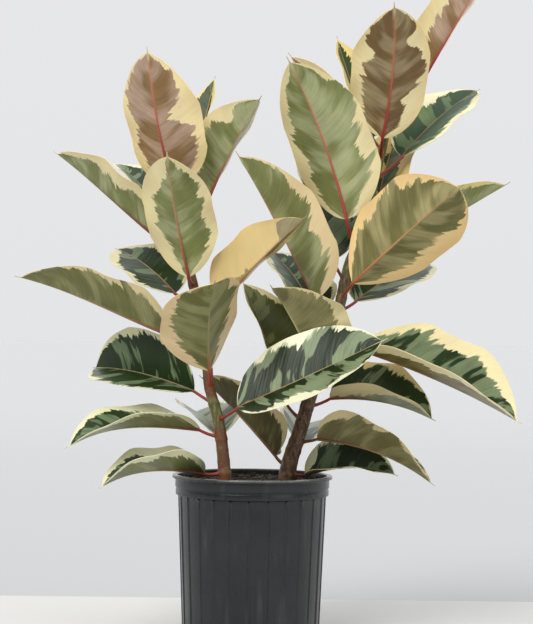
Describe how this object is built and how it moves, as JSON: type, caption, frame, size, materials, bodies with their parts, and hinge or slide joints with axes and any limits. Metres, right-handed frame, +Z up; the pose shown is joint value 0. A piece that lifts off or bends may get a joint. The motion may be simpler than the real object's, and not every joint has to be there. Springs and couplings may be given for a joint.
{
  "type": "potted rubber plant",
  "caption": "House plant with two upright woody stems and large leathery variegated leaves, growing in a round ribbed nursery pot that stands on its flat base.",
  "frame": {"origin": "centre of the pot's flat underside", "axes": "+Z up along the pot's axis, -Y towards the front of the plant, +X to its right"},
  "size_m": [0.7259, 0.3938, 0.9676],
  "materials": {
    "pot_plastic": "black moulded plastic, satin, with a little dust on the lip",
    "potting_soil": "dark crumbly potting mix with bark bits and white specks",
    "stem_bark": "brown bark with leaf scars and paler spots",
    "leaf_upper": "glossy leaf, pink-brown and cream, red midrib beneath",
    "leaf_middle": "glossy leaf, olive to grey-green with cream margin",
    "leaf_lower": "glossy leaf, dark green and grey-green patches with cream margin"
  },
  "bodies": {
    "root": {"leaf_left_01": "leaf_upper", "leaf_left_02": "leaf_middle", "leaf_left_03": "leaf_middle", "leaf_left_04": "leaf_upper", "leaf_left_05": "leaf_upper", "leaf_left_06": "leaf_middle", "leaf_left_07": "leaf_middle", "leaf_left_08": "leaf_middle", "leaf_left_09": "leaf_middle", "leaf_left_10": "leaf_middle", "leaf_left_11": "leaf_lower", "leaf_left_12": "leaf_lower", "leaf_left_13": "leaf_lower", "leaf_left_14": "leaf_lower", "leaf_left_15": "leaf_lower", "leaf_right_01": "leaf_upper", "leaf_right_02": "leaf_upper", "leaf_right_03": "leaf_upper", "leaf_right_04": "leaf_upper", "leaf_right_05": "leaf_upper", "leaf_right_06": "leaf_upper", "leaf_right_07": "leaf_middle", "leaf_right_08": "leaf_middle", "leaf_right_09": "leaf_middle", "leaf_right_10": "leaf_middle", "leaf_right_11": "leaf_upper", "leaf_right_12": "leaf_middle", "leaf_right_13": "leaf_middle", "leaf_right_14": "leaf_lower", "leaf_right_15": "leaf_middle", "leaf_right_16": "leaf_middle", "leaf_right_17": "leaf_lower", "leaf_right_18": "leaf_lower", "leaf_right_19": "leaf_lower", "leaf_right_20": "leaf_lower", "leaf_right_21": "leaf_lower", "pot": "pot_plastic", "soil": "potting_soil", "stem_left": "stem_bark", "stem_right": "stem_bark"}
  },
  "joints": []
}
